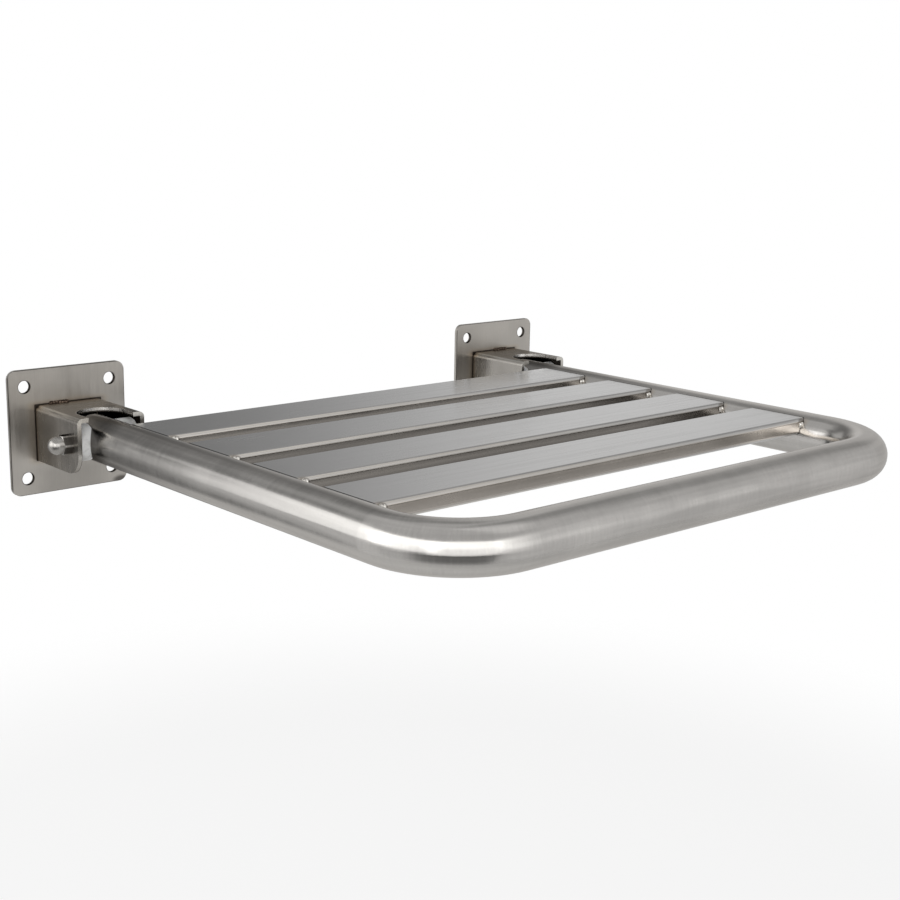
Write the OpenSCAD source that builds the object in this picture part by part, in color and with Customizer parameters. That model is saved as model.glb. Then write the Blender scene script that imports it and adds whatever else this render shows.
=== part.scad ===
// Fold-down wall seat. A bent round tube with four slats across it hangs between
// two wall brackets, and folds up against the wall about two hinge bolts.
//
// X runs along the wall, +Y points into the wall and +Z is up. The origin lies on
// the face of the wall, midway between the two plates, level with the hinge bolts.

/* [Seat frame] */
// Width over the outsides of the two side tubes
seat_w = 450; // [380:1:600]
// Distance from the wall to the front of the seat
seat_reach = 430; // [415:1:520]
// Outside diameter of the frame tube
tube_d = 32; // [28:1:35]
// Wall of the frame tube
tube_wall = 1.5; // [1:0.5:2.5]
// Radius of the front bends on the centre line of the tube
bend_r = 54; // [45:1:70]
// How far the top of each tube end runs on behind the hinge
tube_tail = 12; // [9:1:14]
// Height of the upright face at the foot of each mitred tube end
stop_land_h = 4; // [2:1:8]

/* [Slats] */
// Height of a slat
slat_h = 12; // [10:1:16]
// Wall of the slat's rectangular tube
slat_wall = 1.5; // [1:0.5:2]
// Outside radius along the edges of a slat
slat_edge_r = 3; // [1.6:0.2:4]
// Open gap between two slats
slat_gap = 23; // [10:1:30]
// Open gap between the last slat and the front bar
hand_gap = 53; // [42:1:90]
// How far the top of the slats lies below the top of the tube
slat_drop = 2; // [1:0.5:4]

/* [Wall plates] */
// Side of the square wall plate
plate_w = 90; // [80:1:120]
// Thickness of the wall plate
plate_t = 3; // [2:0.5:5]
// Radius of the plate's corners
plate_corner_r = 6.5; // [2:0.5:12]
// Diameter of the holes for the wall screws
wall_hole_d = 9; // [6:0.5:10]
// Distance from a plate edge to the middle of a hole
wall_hole_inset = 12; // [8:1:14]

/* [Hinge brackets] */
// Distance from the wall to the hinge bolt
pivot_reach = 52; // [48:1:70]
// Distance from the hinge bolt to the front of the bracket
bracket_nose = 13.5; // [11:0.5:18]
// Height of the bracket from its open foot to the top of its web
bracket_h = 40; // [36:1:50]
// Thickness of the bracket's sheet
bracket_t = 3; // [2:0.5:4]
// Inside radius of the two folds
fold_r = 1; // [0.5:0.5:3]
// Radius of the lower front corner of each ear
ear_corner_r = 15; // [6:1:18]

/* [Hinge bolts and bushes] */
// Diameter of the hinge bolt
bolt_d = 8; // [6:1:10]
// How far the bolt runs into the dome nut
bolt_grip = 9; // [6:1:10]
// Outside diameter of the bush's saddle
bush_d = 26; // [22:1:30]
// Thickness of the saddle at the side of the tube
bush_t = 6.2; // [4:0.2:9]
// How far the saddle reaches round the tube from its side
bush_wrap = 4; // [2:0.5:6]
// Wall of the bush's spigot
spigot_wall = 2; // [1.5:0.5:3]

/* [Welds] */
// Radius of the tack at the top front corner of a slat
tack_r = 3; // [2:0.2:3.6]
// Radius of the seam under each slat end
seam_r = 2.5; // [1.5:0.5:4]
// Radius of the seams between a bracket and its plate
bracket_seam_r = 2; // [1:0.5:3]

/* [Hidden] */
$fn = 72;

// Sides, as signs of X
LEFT = -1;
RIGHT = 1;
// Places of a bush on its tube, away from the seat's middle or towards it
OUTER = 1;
INNER = -1;

// Running and seating clearances
stop_gap = 0.3;       // foot of the tube end to the wall plate
web_gap = 0.3;        // top of the tube to the web above it
side_gap = 0.3;       // bush to the ear beside it
notch_gap = 1;        // upright tube to the notch around it
swing_gap = 0.45;     // first slat to the bracket's top corner as it swings past
bolt_play = 0.06;     // bolt to bush, on the radius
ear_hole_play = 0.1;  // bolt to ear and nut, on the radius
seat_play = 0.05;     // bush to tube, on the radius
weld_gap = 0.1;       // end of a slat to the tube
overrun = 1;          // how far a cutter passes the faces it cuts

// Frame tube
tube_r = tube_d / 2;
bore_r = tube_r - tube_wall;
arm_x = seat_w / 2 - tube_r;
front_y = seat_reach - tube_r;
bend_y = front_y - bend_r;
arm_end_y = plate_t + stop_gap;
tail_y = pivot_reach - tube_tail;
land_z = -tube_r + stop_land_h;

// Bracket: the ears stand a bush apart from the tube on each side
ear_in_x = tube_r + bush_t + side_gap;
ear_out_x = ear_in_x + bracket_t;
web_in_z = tube_r + web_gap;
web_top_z = web_in_z + bracket_t;
ear_foot_z = web_top_z - bracket_h;
bracket_front_y = pivot_reach + bracket_nose;
notch_r = tube_r + notch_gap;

// Slats: the first one just clears the bracket's top front corner on its way up,
// and together they fill the depth that is left behind the gap at the front
SLATS = 4;
slat_set_back = norm([bracket_nose, web_top_z]) + swing_gap;
slats_from_y = pivot_reach + slat_set_back;
slats_to_y = front_y - tube_r - hand_gap;
slat_pitch = (slats_to_y - slats_from_y + slat_gap) / SLATS;
slat_d = slat_pitch - slat_gap;
slat_top_z = tube_r - slat_drop;
slat_mid_z = slat_top_z - slat_h / 2;
slat_foot_z = slat_top_z - slat_h;
function slat_rear_y(n) = slats_from_y + (n - 1) * slat_pitch;

// Hex sizes as shares of the bolt's diameter
hex_af_share = 1.625;
head_h_share = 0.6625;
nut_hex_share = 0.8125;
nut_total_share = 1.875;
nut_dome_share = 1.5625;
nut_depth_share = 1.4;
tip_chamfer_share = 0.1;
hex_af = bolt_d * hex_af_share;
hex_corner_r = hex_af / 2 / cos(30);
head_h = bolt_d * head_h_share;
nut_hex_h = bolt_d * nut_hex_share;
nut_h = bolt_d * nut_total_share;
dome_r = bolt_d * nut_dome_share / 2;
nut_depth = bolt_d * nut_depth_share;
tip_chamfer = bolt_d * tip_chamfer_share;
spigot_r = bolt_d / 2 + bolt_play + spigot_wall;
spigot_tail = tube_wall * 1.3;

// The top seam of a bracket covers this stretch of the web, from its outer edge
seam_from_share = 0.2;
seam_to_share = 0.52;

// Rectangle with round corners, centred on the origin
module rounded_rect(w, h, r) {
    square([w - 2 * r, h], center = true);
    square([w, h - 2 * r], center = true);
    for (sx = [-1, 1], sy = [-1, 1])
        translate([sx * (w / 2 - r), sy * (h / 2 - r)])
            circle(r);
}

// Upright rectangle whose two top corners are round
module round_top(half_w, top, foot, r) {
    translate([-half_w, foot])
        square([2 * half_w, top - r - foot]);
    translate([r - half_w, foot])
        square([2 * (half_w - r), top - foot]);
    for (sx = [-1, 1])
        translate([sx * (half_w - r), top - r])
            circle(r);
}

// Solid of an outline drawn in Y and Z, from one X to another
module across(x_from, x_to) {
    translate([x_from, 0, 0])
        rotate([90, 0, 90])
            linear_extrude(x_to - x_from)
                children();
}

// Solid of an outline drawn in X and Z, from one distance off the wall to another
module outward(y_from, y_to) {
    translate([0, -y_from, 0])
        rotate([90, 0, 0])
            linear_extrude(y_to - y_from)
                children();
}

// Moves a hinge part from the middle of its bolt to the left or right hinge,
// with its +X pointing away from the middle of the seat
module at_hinge(side) {
    translate([side * arm_x, -pivot_reach, 0])
        mirror([side == LEFT ? 1 : 0, 0, 0])
            children();
}

// Round bar along X, between two places on the hinge line
module hinge_bar(r, x_from, x_to) {
    translate([x_from, 0, 0])
        rotate([0, 90, 0])
            cylinder(r = r, h = x_to - x_from);
}

// Hexagon along X with two flats level, its corners chamfered at the far end
module hex_along_x(x_from, h) {
    chamfer = hex_corner_r - hex_af / 2;
    translate([x_from, 0, 0])
        rotate([0, 90, 0])
            intersection() {
                rotate([0, 0, 30])
                    cylinder(r = hex_corner_r, h = h, $fn = 6);
                rotate_extrude()
                    polygon([
                        [0, 0],
                        [hex_corner_r + chamfer, 0],
                        [hex_corner_r + chamfer, h - chamfer * 1.2],
                        [hex_af / 2, h],
                        [0, h]
                    ]);
            }
}

// Square plate that is screwed to the wall, with a hole near each corner
module wall_plate(side) {
    hole_at = plate_w / 2 - wall_hole_inset;
    color("#8b8781")
        translate([side * arm_x, 0, 0])
            outward(0, plate_t)
                difference() {
                    rounded_rect(plate_w, plate_w, plate_corner_r);
                    for (sx = [-1, 1], sz = [-1, 1])
                        translate([sx * hole_at, sz * hole_at])
                            circle(d = wall_hole_d);
                }
}

// Section of the bracket: a web folded down into an ear on each side
module bracket_section() {
    difference() {
        round_top(ear_out_x, web_top_z, ear_foot_z, fold_r + bracket_t);
        round_top(ear_in_x, web_in_z, ear_foot_z - overrun, fold_r);
    }
}

// Side view of the bracket, with a large radius at its lower front corner
module bracket_outline() {
    length = bracket_front_y - plate_t;
    translate([-bracket_front_y, ear_foot_z + ear_corner_r])
        square([length, bracket_h - ear_corner_r]);
    translate([ear_corner_r - bracket_front_y, ear_foot_z])
        square([length - ear_corner_r, bracket_h]);
    translate([ear_corner_r - bracket_front_y, ear_foot_z + ear_corner_r])
        circle(ear_corner_r);
}

// Notch in the web that takes the tube when the seat stands upright
module web_notch() {
    linear_extrude(web_top_z + overrun) {
        circle(notch_r);
        translate([-notch_r, -bracket_nose - overrun])
            square([2 * notch_r, bracket_nose + overrun]);
    }
}

// Folded bracket that holds one end of the seat frame between its ears
module hinge_bracket(side) {
    color("#7f7b75")
        difference() {
            translate([side * arm_x, 0, 0])
                intersection() {
                    outward(plate_t, bracket_front_y)
                        bracket_section();
                    across(-ear_out_x - overrun, ear_out_x + overrun)
                        bracket_outline();
                }
            at_hinge(side) {
                web_notch();
                hinge_bar(bolt_d / 2 + ear_hole_play, -ear_out_x - overrun, ear_out_x + overrun);
            }
        }
}

// Seam along the top of the web, and one inside each ear, all against the plate
module bracket_welds(side) {
    ear_seam_h = web_in_z - fold_r - bracket_seam_r - ear_foot_z;
    web_w = 2 * ear_out_x;
    color("#6b625a")
        translate([side * arm_x, -plate_t, 0])
            mirror([side == LEFT ? 1 : 0, 0, 0]) {
                intersection() {
                    translate([0, 0, web_top_z])
                        hinge_bar(bracket_seam_r,
                                  ear_out_x - web_w * seam_to_share,
                                  ear_out_x - web_w * seam_from_share);
                    translate([-ear_out_x, -bracket_seam_r - overrun, web_top_z])
                        cube([web_w, bracket_seam_r + overrun, bracket_seam_r + overrun]);
                }
                for (sx = [-1, 1])
                    intersection() {
                        translate([sx * ear_in_x, 0, ear_foot_z + bracket_seam_r])
                            cylinder(r = bracket_seam_r, h = ear_seam_h - bracket_seam_r);
                        translate([sx * ear_in_x - (sx + 1) / 2 * (bracket_seam_r + overrun),
                                   -bracket_seam_r - overrun, ear_foot_z])
                            cube([bracket_seam_r + overrun, bracket_seam_r + overrun, bracket_h]);
                    }
            }
}

// Hex bolt through both ears, its head against the inner one
module hinge_bolt(side) {
    tip_x = ear_out_x + bolt_grip;
    color("#a9a6a0")
        at_hinge(side) {
            mirror([1, 0, 0])
                hex_along_x(ear_out_x, head_h);
            hinge_bar(bolt_d / 2, -ear_out_x, tip_x - tip_chamfer);
            translate([tip_x - tip_chamfer, 0, 0])
                rotate([0, 90, 0])
                    cylinder(r1 = bolt_d / 2, r2 = bolt_d / 2 - tip_chamfer, h = tip_chamfer);
        }
}

// Closed dome nut against the outer ear
module dome_nut(side) {
    color("#b4b1ab")
        at_hinge(side)
            difference() {
                union() {
                    hex_along_x(ear_out_x, nut_hex_h);
                    translate([ear_out_x, 0, 0])
                        rotate([0, 90, 0])
                            rotate_extrude()
                                intersection() {
                                    union() {
                                        square([dome_r, nut_h - dome_r]);
                                        translate([0, nut_h - dome_r])
                                            circle(dome_r);
                                    }
                                    square([dome_r, nut_h]);
                                }
                }
                hinge_bar(bolt_d / 2 + ear_hole_play, ear_out_x - overrun, ear_out_x + nut_depth);
            }
}

// Saddle bush: it sits on the side of the tube, and its spigot lines the tube's hole
module hinge_bush(side, place) {
    face_x = tube_r + bush_t;
    color("#c9c9c6")
        at_hinge(side)
            mirror([place == INNER ? 1 : 0, 0, 0])
                difference() {
                    union() {
                        difference() {
                            hinge_bar(bush_d / 2, tube_r - bush_wrap, face_x);
                            translate([0, bush_d, 0])
                                rotate([90, 0, 0])
                                    cylinder(r = tube_r + seat_play, h = 2 * bush_d);
                        }
                        hinge_bar(spigot_r, bore_r - spigot_tail, face_x);
                    }
                    hinge_bar(bolt_d / 2 + bolt_play, bore_r - spigot_tail - overrun, face_x + overrun);
                }
}

// Section of the frame tube
module tube_ring() {
    difference() {
        circle(tube_r);
        circle(bore_r);
    }
}

// Wedge that mitres a tube end, so that only its foot reaches back to the wall plate
module tail_mitre() {
    lean = (tail_y - arm_end_y) / (tube_r - land_z);
    top_z = tube_r + overrun;
    polygon([
        [-tail_y - overrun * lean, top_z],
        [-arm_end_y, land_z],
        [overrun - arm_end_y, land_z],
        [overrun - arm_end_y, top_z]
    ]);
}

// Round tube bent to a U: two arms, two bends and the front bar
module seat_frame_tube() {
    color("#a8a49d")
        difference() {
            union() {
                for (side = [LEFT, RIGHT]) {
                    translate([side * arm_x, 0, 0])
                        outward(arm_end_y, bend_y)
                            tube_ring();
                    translate([side * (arm_x - bend_r), -bend_y, 0])
                        mirror([side == LEFT ? 1 : 0, 0, 0])
                            rotate([0, 0, -90])
                                rotate_extrude(angle = 90)
                                    translate([bend_r, 0])
                                        tube_ring();
                }
                translate([bend_r - arm_x, -front_y, 0])
                    rotate([0, 90, 0])
                        linear_extrude(2 * (arm_x - bend_r))
                            tube_ring();
            }
            for (side = [LEFT, RIGHT]) {
                translate([side * arm_x, 0, 0])
                    across(-tube_r - overrun, tube_r + overrun)
                        tail_mitre();
                at_hinge(side)
                    hinge_bar(spigot_r + seat_play, -tube_r - overrun, tube_r + overrun);
            }
        }
}

// The two side tubes as plain bars beside one slat, to trim what meets them
module side_bars(n, r) {
    for (side = [LEFT, RIGHT])
        translate([side * arm_x, 0, 0])
            outward(slat_rear_y(n) - slat_gap / 2, slat_rear_y(n) + slat_d + slat_gap / 2)
                circle(r);
}

// One slat's outline, run from one arm's middle to the other's
module slat_bar(n, inset, r) {
    translate([0, -slat_rear_y(n) - slat_d / 2, slat_mid_z])
        across(-arm_x, arm_x)
            rounded_rect(slat_d - 2 * inset, slat_h - 2 * inset, r);
}

// Rectangular tube between the arms, its ends coped to the round tube
module slat(n) {
    color("#b2afa9")
        difference() {
            slat_bar(n, 0, slat_edge_r);
            slat_bar(n, slat_wall, max(slat_edge_r - slat_wall, weld_gap));
            side_bars(n, tube_r + weld_gap);
        }
}

// A tack at each top front corner of a slat and a seam under each end
module slat_welds(n) {
    tack_z = slat_top_z - slat_edge_r;
    tack_x = arm_x - sqrt(tube_r * tube_r - tack_z * tack_z) - tack_r / 3;
    seam_x = arm_x - sqrt(tube_r * tube_r - slat_foot_z * slat_foot_z);
    front = slat_rear_y(n) + slat_d;
    color("#8d857c")
        difference() {
            for (side = [LEFT, RIGHT]) {
                translate([side * tack_x, slat_wall / 2 - front, tack_z])
                    sphere(tack_r);
                translate([side * seam_x, 0, slat_foot_z])
                    outward(slat_rear_y(n) + 2 * slat_edge_r, front - 2 * slat_edge_r)
                        circle(seam_r);
            }
            slat_bar(n, 0, slat_edge_r);
            side_bars(n, tube_r);
        }
}

wall_plate(LEFT);  // left_wall_plate
wall_plate(RIGHT);  // right_wall_plate
hinge_bracket(LEFT);  // left_hinge_bracket
hinge_bracket(RIGHT);  // right_hinge_bracket
bracket_welds(LEFT);  // left_bracket_welds
bracket_welds(RIGHT);  // right_bracket_welds
hinge_bolt(LEFT);  // left_hinge_bolt
hinge_bolt(RIGHT);  // right_hinge_bolt
dome_nut(LEFT);  // left_dome_nut
dome_nut(RIGHT);  // right_dome_nut
seat_frame_tube();
hinge_bush(LEFT, OUTER);  // left_outer_bush
hinge_bush(LEFT, INNER);  // left_inner_bush
hinge_bush(RIGHT, OUTER);  // right_outer_bush
hinge_bush(RIGHT, INNER);  // right_inner_bush
slat(1);  // slat_1
slat(2);  // slat_2
slat(3);  // slat_3
slat(4);  // slat_4
slat_welds(1);  // slat_1_welds
slat_welds(2);  // slat_2_welds
slat_welds(3);  // slat_3_welds
slat_welds(4);  // slat_4_welds
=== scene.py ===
"""Looks of a fold-down wall seat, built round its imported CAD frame.

Everything is in metres in the frame of the CAD model: X runs along the wall,
+Y points into it, Z is up, and the hinge bolts lie on the height Z = 0. The
steel and nylon pieces keep their CAD shapes and get their finishes here. The
weld beads are modelled again, with the ripples that a torch leaves.
"""

import logging
import math
import random
from dataclasses import dataclass, field
from enum import Enum
from typing import Optional, Union

import bmesh
import bpy
from mathutils import Matrix, Vector, noise


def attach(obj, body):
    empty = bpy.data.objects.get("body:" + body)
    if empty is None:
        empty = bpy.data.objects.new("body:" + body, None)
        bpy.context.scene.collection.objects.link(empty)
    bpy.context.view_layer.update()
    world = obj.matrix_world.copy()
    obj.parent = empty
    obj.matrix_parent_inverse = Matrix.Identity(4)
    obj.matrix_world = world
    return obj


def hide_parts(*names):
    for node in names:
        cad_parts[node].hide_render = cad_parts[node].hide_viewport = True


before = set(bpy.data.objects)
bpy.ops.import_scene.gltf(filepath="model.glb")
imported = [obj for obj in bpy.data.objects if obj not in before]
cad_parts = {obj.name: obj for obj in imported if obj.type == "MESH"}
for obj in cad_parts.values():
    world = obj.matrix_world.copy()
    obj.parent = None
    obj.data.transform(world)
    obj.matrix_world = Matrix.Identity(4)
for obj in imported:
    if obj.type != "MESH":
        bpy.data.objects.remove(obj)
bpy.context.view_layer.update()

LOG = logging.getLogger("wall_seat")
MM = 0.001

# Faces that turn less than the first angle are one plane; edges past the second get rounded.
FLAT_DEGREES = 0.5
SHARP_DEGREES = 40
EDGE_SEGMENTS = 3

# The stretches of a noise's values that are spread over a finish's own range.
NOISE_RANGE = (0.3, 0.7)
GRAIN_RANGE = (0.28, 0.72)
CLOUD_RANGE = (0.25, 0.75)
STAIN_RANGE = (0.45, 0.75)
PATCH_RANGE = (0.35, 0.65)

Number = Union[float, bpy.types.NodeSocket]
Triple = tuple[float, float, float]


class Side(Enum):
    """One half of the seat, as the sign of X."""

    LEFT = -1
    RIGHT = 1

    @property
    def word(self) -> str:
        """The name of the side as the CAD nodes spell it."""
        return self.name.lower()


class Body(Enum):
    """The two bodies of the CAD model."""

    WALL = "wall_brackets"
    SEAT = "seat"


class Slot(Enum):
    """The record's material slots."""

    WELD = "weld_metal"


class GrainLay(Enum):
    """The way in which the brushing on a steel piece runs."""

    ALONG_X = "along the slats"
    ROUND_TUBE = "round the bent tube"
    UPRIGHT = "up and down the plates"
    OVER_FOLDS = "up the ears and across the web"
    TURNED = "round the hinge line"


@dataclass(frozen=True)
class SeatSizes:
    """The sizes of the CAD model that the finishes and welds follow."""

    tube_r: float = 16 * MM
    bend_r: float = 54 * MM
    arm_x: float = 209 * MM
    front_y: float = 414 * MM
    slat_first_y: float = 76 * MM
    slat_pitch: float = 73 * MM
    slat_depth: float = 50 * MM
    slat_top_z: float = 14 * MM
    slat_foot_z: float = 2 * MM
    slat_edge_r: float = 3 * MM
    slats: int = 4
    plate_half: float = 45 * MM
    plate_t: float = 3 * MM
    hole_at: float = 33 * MM
    hole_r: float = 4.5 * MM
    pivot_y: float = 52 * MM
    web_top_z: float = 19.3 * MM
    web_in_z: float = 16.3 * MM
    ear_in_x: float = 22.5 * MM
    ear_out_x: float = 25.5 * MM
    ear_foot_z: float = -20.7 * MM
    fold_out_r: float = 4 * MM
    nose_y: float = 65.5 * MM
    nut_hex_x: float = 241 * MM
    notch_r: float = 17 * MM

    @property
    def tack_z(self) -> float:
        """Height of the top of the slats' flat sides, where the tacks sit."""
        return self.slat_top_z - self.slat_edge_r

    @property
    def tack_x(self) -> float:
        """Distance from the middle to the inner side of an arm at the tacks."""
        return self.side_x_at(self.tack_z)

    @property
    def bend_y(self) -> float:
        """Distance from the wall to where the bends start."""
        return self.front_y - self.bend_r

    @property
    def bend_x(self) -> float:
        """Distance from the middle to the centres of the bends."""
        return self.arm_x - self.bend_r

    def slat_front_y(self, number: int) -> float:
        """Distance from the wall to the front of one slat, counted from 1."""
        return self.slat_first_y + (number - 1) * self.slat_pitch + self.slat_depth

    def side_x_at(self, z: float) -> float:
        """Distance from the middle to the inner side of an arm at a height."""
        return self.arm_x - math.sqrt(self.tube_r**2 - z**2)


SIZES = SeatSizes()


class NodeGraph:
    """Builds the node tree of one material or world from short calls."""

    def __init__(self, tree: bpy.types.NodeTree) -> None:
        """Starts on a tree, whose old nodes are removed."""
        tree.nodes.clear()
        self.tree = tree

    def node(self, kind: str, **settings: object) -> bpy.types.Node:
        """Adds a node.

        Args:
            kind: Blender's name of the node type, without "ShaderNode".
            settings: properties of the node.

        Returns:
            The new node.
        """
        made = self.tree.nodes.new("ShaderNode" + kind)
        for name, value in settings.items():
            setattr(made, name, value)
        return made

    def feed(self, made: bpy.types.Node, **inputs: object) -> bpy.types.Node:
        """Sets or links inputs of a node.

        Args:
            made: the node.
            inputs: input names, with _ for a space, and a socket or a value each.

        Returns:
            The same node.
        """
        for name, value in inputs.items():
            self.plug(value, made.inputs[name.replace("_", " ")])
        return made

    def plug(self, value: object, socket: bpy.types.NodeSocket) -> None:
        """Links a socket into another, or writes a plain value there.

        Args:
            value: the socket or the plain value.
            socket: the input that takes it.
        """
        if isinstance(value, bpy.types.NodeSocket):
            self.tree.links.new(value, socket)
        else:
            socket.default_value = value

    def maths(self, operation: str, *terms: Number) -> Number:
        """Adds a Math node.

        Args:
            operation: Blender's name of the operation.
            terms: its inputs, sockets or numbers.

        Returns:
            The result.
        """
        made = self.node("Math", operation=operation)
        for term, socket in zip(terms, made.inputs):
            self.plug(term, socket)
        return made.outputs[0]

    def joined(self, operation: str, terms: tuple[Number, ...]) -> Number:
        """Joins terms one after the other with a Math operation.

        Args:
            operation: Blender's name of the operation.
            terms: sockets or numbers.

        Returns:
            The result.
        """
        total = terms[0]
        for term in terms[1:]:
            total = self.maths(operation, total, term)
        return total

    def add(self, *terms: Number) -> Number:
        """Sum of the terms."""
        return self.joined("ADD", terms)

    def times(self, *terms: Number) -> Number:
        """Product of the terms."""
        return self.joined("MULTIPLY", terms)

    def most(self, *terms: Number) -> Number:
        """Largest of the terms."""
        return self.joined("MAXIMUM", terms)

    def unsigned(self, term: Number) -> Number:
        """A term without its sign."""
        return self.maths("ABSOLUTE", term)

    def blend(self, share: Number, one: Number, other: Number) -> Number:
        """One term that turns into another as the share goes from 0 to 1."""
        return self.maths("MULTIPLY_ADD", share, self.maths("SUBTRACT", other, one), one)

    def length(self, *terms: Number) -> Number:
        """Length of a vector.

        Args:
            terms: its two or three parts.

        Returns:
            The length.
        """
        made = self.node("VectorMath", operation="LENGTH")
        self.plug(self.vector(*terms), made.inputs[0])
        return made.outputs["Value"]

    def vector(self, x: Number, y: Number, z: Number = 0.0) -> Number:
        """Joins three terms to a vector.

        Args:
            x: the first part.
            y: the second part.
            z: the third part.

        Returns:
            The vector.
        """
        made = self.node("CombineXYZ")
        for term, socket in zip((x, y, z), made.inputs):
            self.plug(term, socket)
        return made.outputs[0]

    def grey(self, tone: Number) -> Number:
        """A grey of the given tone."""
        return self.vector(tone, tone, tone)

    def parts(self, vector: Number) -> tuple[Number, Number, Number]:
        """Splits a vector.

        Args:
            vector: the vector.

        Returns:
            Its three parts.
        """
        made = self.node("SeparateXYZ")
        self.plug(vector, made.inputs[0])
        return made.outputs[0], made.outputs[1], made.outputs[2]

    def span(self, value: Number, start: float, end: float,
             low: float = 0.0, high: float = 1.0, smooth: bool = True) -> Number:
        """Maps a value from one range to another, held at both ends.

        Args:
            value: the term to map.
            start: where the result is low.
            end: where the result is high.
            low: result at the start.
            high: result at the end.
            smooth: eases in and out.

        Returns:
            The mapped term.
        """
        made = self.node("MapRange", interpolation_type="SMOOTHSTEP" if smooth else "LINEAR")
        for term, socket in zip((value, start, end, low, high), made.inputs):
            self.plug(term, socket)
        return made.outputs[0]

    def fall(self, value: Number, start: float, end: float, high: float = 1.0) -> Number:
        """Maps a value to a share that falls to 0 from the start to the end."""
        return self.span(value, start, end, high, 0.0)

    def band(self, value: Number, fades_in: float, full: float,
             fades_out: float, gone: float) -> Number:
        """A share that rises from 0 to 1 between two values and falls between two more."""
        return self.times(self.span(value, fades_in, full),
                          self.fall(value, fades_out, gone))

    def noise(self, place: Number, scale: float, detail: float = 2.0,
              rough: float = 0.5) -> Number:
        """Grey noise.

        Args:
            place: where it is read.
            scale: features per metre of place.
            detail: number of finer layers.
            rough: strength of the finer layers.

        Returns:
            A term of about 0 to 1.
        """
        made = self.node("TexNoise")
        self.feed(made, Vector=place, Scale=scale, Detail=detail, Roughness=rough)
        return made.outputs[0]

    def ramp(self, share: Number, *stops: tuple[float, Triple]) -> Number:
        """A colour ramp.

        Args:
            share: place on the ramp, 0 to 1.
            stops: position and linear colour of each stop, in order.

        Returns:
            The colour.
        """
        made = self.node("ValToRGB")
        colours = made.color_ramp
        while len(colours.elements) < len(stops):
            colours.elements.new(0.5)
        for element, (position, colour) in zip(colours.elements, stops):
            element.position = position
            element.color = (*colour, 1.0)
        self.plug(share, made.inputs[0])
        return made.outputs[0]

    def mix(self, share: Number, one: object, other: object,
            blend_type: str = "MIX") -> Number:
        """Mixes two colours.

        Args:
            share: how much of the other colour.
            one: colour or linear triple at a share of 0.
            other: colour or linear triple at a share of 1.
            blend_type: Blender's blend type.

        Returns:
            The mixed colour.
        """
        made = self.node("Mix", data_type="RGBA", blend_type=blend_type)
        self.plug(share, made.inputs[0])
        for value, socket in ((one, made.inputs[6]), (other, made.inputs[7])):
            self.plug((*value, 1.0) if isinstance(value, tuple) else value, socket)
        return made.outputs[2]

    def stained(self, share: Number, colour: object, stain: object) -> Number:
        """Multiplies a colour by another one, to the given share."""
        return self.mix(share, colour, stain, "MULTIPLY")

    def world_vector(self, vector: Number) -> Number:
        """Turns a direction on the piece into one in the room.

        Args:
            vector: the direction on the piece.

        Returns:
            The direction in the room.
        """
        made = self.node("VectorTransform", vector_type="VECTOR",
                         convert_from="OBJECT", convert_to="WORLD")
        self.plug(vector, made.inputs[0])
        return made.outputs[0]

    def bump(self, height: Number, depth: float) -> Number:
        """Turns a height field of about 0 to 1 into a normal; the depth is in metres."""
        made = self.feed(self.node("Bump"), Height=height, Distance=depth, Strength=1.0)
        return made.outputs[0]


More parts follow.
